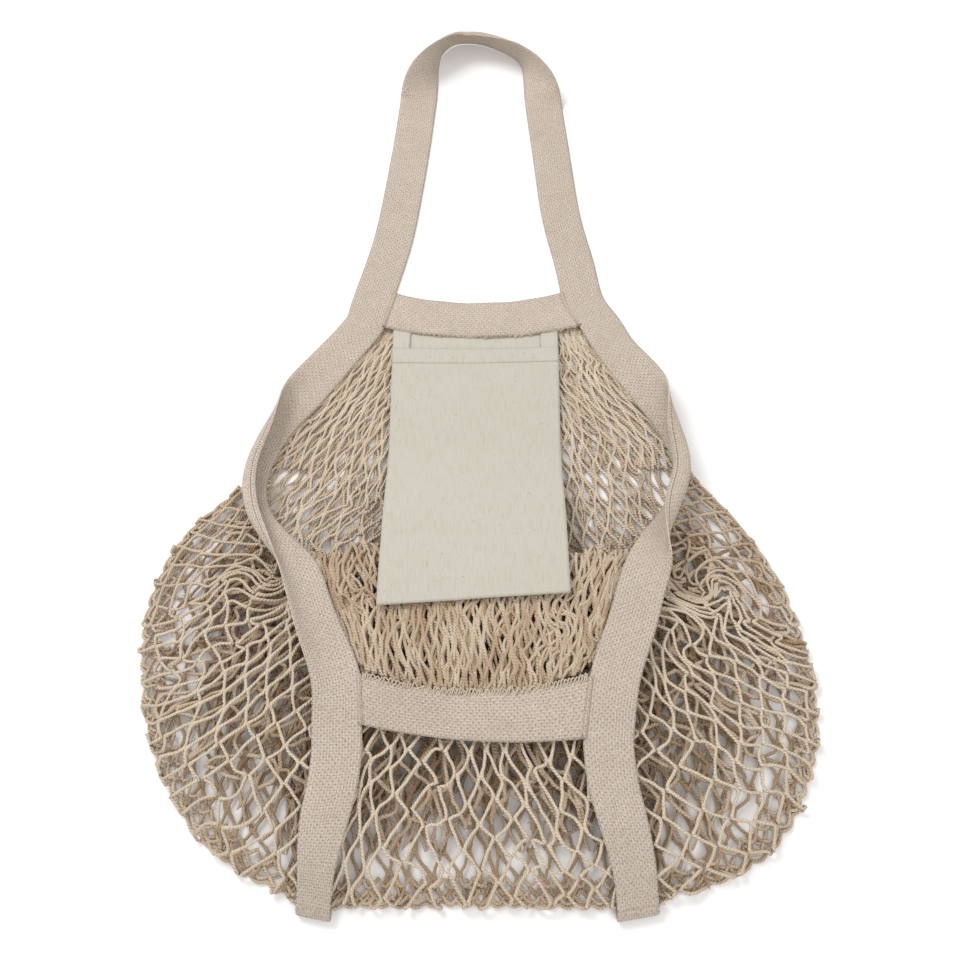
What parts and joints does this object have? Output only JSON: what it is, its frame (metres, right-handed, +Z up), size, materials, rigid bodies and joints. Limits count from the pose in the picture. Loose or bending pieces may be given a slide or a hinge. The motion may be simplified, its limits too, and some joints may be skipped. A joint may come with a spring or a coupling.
{
  "type": "string shopping bag",
  "caption": "Net shopping bag with long tape handles and a cloth pouch at the mouth, lying flat with its mouth folded open.",
  "frame": {"origin": "middle of the footprint, on the surface that the bag lies on", "axes": "+Y from the bottom fold towards the top of the back handle, +Z up from the surface, +X to the right with the front panel on top"},
  "size_m": [0.54, 0.9058, 0.0581],
  "materials": {
    "tape": "knitted natural cotton tape, matt",
    "string_net": "twisted natural cotton string, matt",
    "pouch_cloth": "plain-weave unbleached cotton, matt"
  },
  "bodies": {
    "root": {"back_handle": "tape", "left_collar": "tape", "right_collar": "tape", "front_handle": "tape", "back_band": "tape", "front_band": "tape", "net_back_panel": "string_net", "net_front_panel": "string_net", "pouch": "pouch_cloth"}
  },
  "joints": []
}
